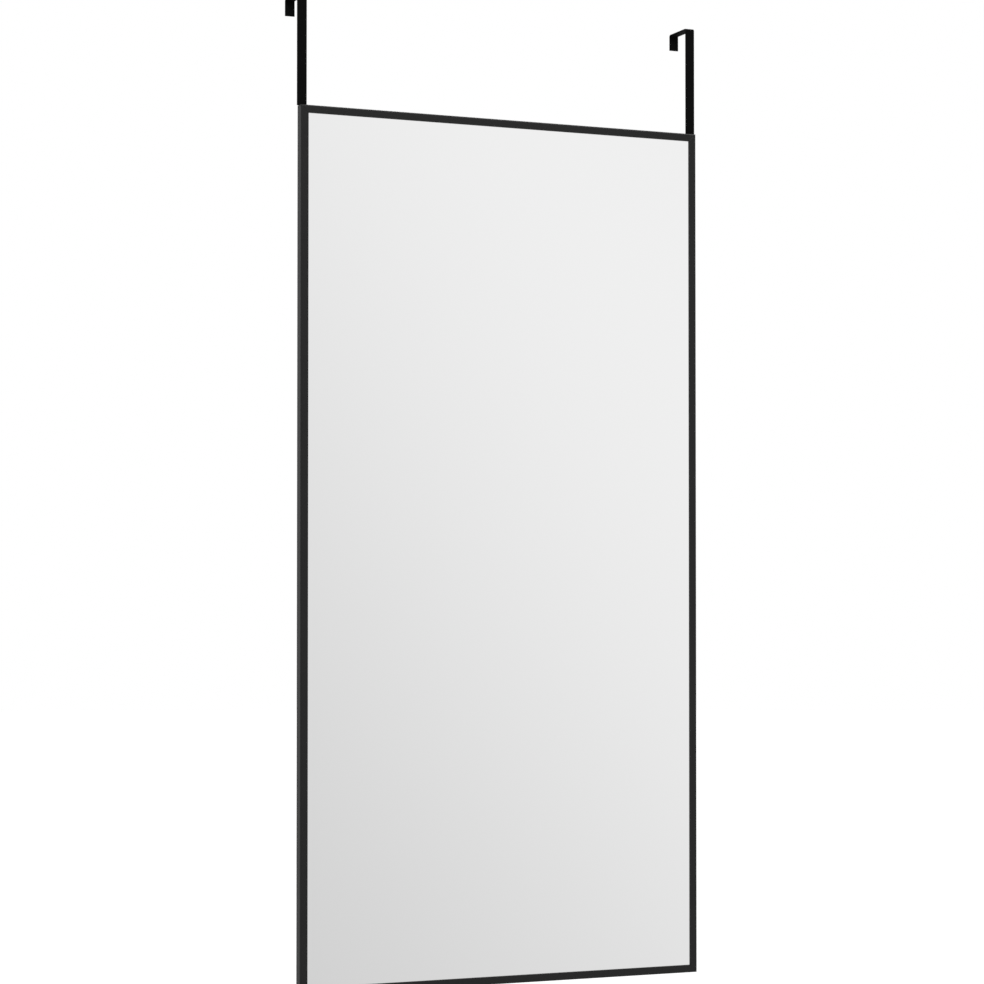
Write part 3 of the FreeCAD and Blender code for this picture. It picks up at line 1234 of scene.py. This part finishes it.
@dataclass(frozen=True)
class Lamp:
    """One soft square lamp aimed at the mirror, with its angles in degrees and its lengths in metres."""

    name: str
    azimuth: float  # round from the front, to the right
    elevation: float
    distance: float
    size: float
    power: float

    def hang(self, target: Vector) -> None:
        """Hang the lamp.

        Args:
            target: the point that it is aimed at.
        """
        light = bpy.data.lights.new(self.name, "AREA")
        light.size = self.size
        light.energy = self.power
        lamp = bpy.data.objects.new(self.name, light)
        aim = Euler((math.radians(90 - self.elevation), 0, math.radians(self.azimuth)))
        lamp.rotation_euler = aim
        lamp.location = target + aim.to_matrix() @ Vector((0, 0, self.distance))
        lamp.visible_camera = False
        bpy.context.scene.collection.objects.link(lamp)


@dataclass
class Studio:
    """A plain white room round the mirror, in soft even light."""

    door_height: float = 2040.0
    floor_radius: float = 30000.0
    floor_facets: int = 96
    floor_colour: str = "#ececec"
    floor_roughness: float = 0.9
    floor_near: float = 1500.0
    floor_far: float = 5500.0
    floor_lift: float = 0.5
    sky_level: float = 0.7
    # Seen from its left, the pane shows the far wall: palest high on the right, greyer low on the left.
    wall_direction: Point = (0.8312, 0.0, 0.5559)
    wall_levels: tuple[Point, ...] = (
        (0.0, 0.9), (0.33, 0.58), (0.45, 0.82), (0.558, 0.637), (0.727, 0.925), (0.88, 0.74),
    )
    camera_place: Point = (-1267.03, -2889.48, -682.50)
    camera_turn: float = 23.508
    camera_tilt: float = 1.212
    camera_lens: float = 99.401
    camera_shift: float = 0.05
    lamps: tuple[Lamp, ...] = (
        Lamp("key_lamp", azimuth=-50, elevation=60, distance=3.2, size=1.4, power=60),
        Lamp("fill_lamp", azimuth=78, elevation=55, distance=3.6, size=1.8, power=40),
        Lamp("back_lamp", azimuth=170, elevation=45, distance=3.4, size=1.8, power=40),
    )

    def world(self) -> None:
        """Make the surroundings: white to see, a pale wall in reflections and an even sky for light."""
        world = bpy.data.worlds.new("white_room")
        bpy.context.scene.world = world
        tree = blank_tree(world)
        rays = add_node(tree, "LightPath").outputs
        towards = add_node(tree, "TexCoord").outputs["Generated"]
        along_wall = add_node(
            tree, "VectorMath", {0: towards, 1: self.wall_direction}, operation="DOT_PRODUCT"
        )
        share = add_node(tree, "MapRange", {"Value": along_wall, "From Min": -1.0, "From Max": 1.0})
        fade = add_node(tree, "ValToRGB", {"Fac": share})
        ramp = fade.color_ramp
        ramp.interpolation = "EASE"
        for position, _ in self.wall_levels[2:]:
            ramp.elements.new(position)
        for element, (position, level) in zip(ramp.elements, self.wall_levels):
            element.position = position
            element.color = (level, level, level, 1)
        wall = add_node(tree, "Background", {"Color": fade})
        sky = add_node(tree, "Background", {"Color": WHITE, "Strength": self.sky_level})
        white = add_node(tree, "Background", {"Color": WHITE})
        reflected = add_node(tree, "MixShader", {0: rays["Is Glossy Ray"], 1: sky, 2: wall})
        direct = add_node(
            tree, "Math", {0: rays["Is Camera Ray"], 1: rays["Is Transmission Ray"]}, operation="MAXIMUM"
        )
        backdrop = add_node(tree, "MixShader", {0: direct, 1: reflected, 2: white})
        add_node(tree, "OutputWorld", {"Surface": backdrop})

    def floor(self) -> None:
        """Lay the floor at the foot of the door."""
        foot = (0, 0, -self.door_height * MM)
        work = bmesh.new()
        bmesh.ops.create_circle(
            work, cap_ends=True, segments=self.floor_facets, radius=self.floor_radius * MM
        )
        bmesh.ops.translate(work, vec=foot, verts=work.verts)
        floor = as_object(work, "floor")
        material = bpy.data.materials.new("white_painted_floor")
        tree = blank_tree(material)
        at = add_node(tree, "TexCoord").outputs["Object"]
        away = add_node(tree, "VectorMath", {0: at, 1: foot}, operation="DISTANCE")
        fading = add_node(tree, "MapRange", {
            "Value": away, "From Min": self.floor_near * MM, "From Max": self.floor_far * MM,
            "To Max": self.floor_lift,
        })
        seen = add_node(tree, "LightPath").outputs["Is Camera Ray"]
        lift = add_node(tree, "Math", {0: seen, 1: fading}, operation="MULTIPLY")
        paint = add_node(tree, "BsdfPrincipled", {
            "Base Color": linear(self.floor_colour), "Roughness": self.floor_roughness,
            "Emission Color": WHITE, "Emission Strength": lift,
        })
        # Seen from below, the floor lets the view through.
        under = add_node(tree, "NewGeometry").outputs["Backfacing"]
        surface = add_node(tree, "MixShader", {0: under, 1: paint, 2: add_node(tree, "BsdfTransparent")})
        add_node(tree, "OutputMaterial", {"Surface": surface})
        floor.data.materials.append(material)
        floor.visible_glossy = False

    def camera(self) -> None:
        """Stand the camera to the left of the mirror, a little below its middle."""
        camera = bpy.data.cameras.new("camera")
        camera.lens = self.camera_lens
        camera.shift_y = self.camera_shift
        stand = bpy.data.objects.new("camera", camera)
        stand.location = Vector(self.camera_place) * MM
        stand.rotation_euler = (math.radians(90 + self.camera_tilt), 0, math.radians(-self.camera_turn))
        bpy.context.scene.collection.objects.link(stand)
        bpy.context.scene.camera = stand

    def build(self) -> None:
        """Set up the room, its lamps and the camera."""
        bpy.context.scene.view_settings.view_transform = "Standard"
        self.world()
        self.floor()
        target = (cad_bounds[0] + cad_bounds[1]) / 2
        for lamp in self.lamps:
            lamp.hang(target)
        self.camera()
        log.info("studio: %d lamps", len(self.lamps))


def main() -> None:
    """Set up the studio and build the mirror, one sub-assembly after another."""
    logging.basicConfig(level=logging.INFO, format="%(message)s")
    Studio().build()
    MitredFrame().build()
    Backing().build()
    for hand in Hand:
        Hanger(hand).build()
    Bumpers().build()


if __name__ == "__main__":
    main()
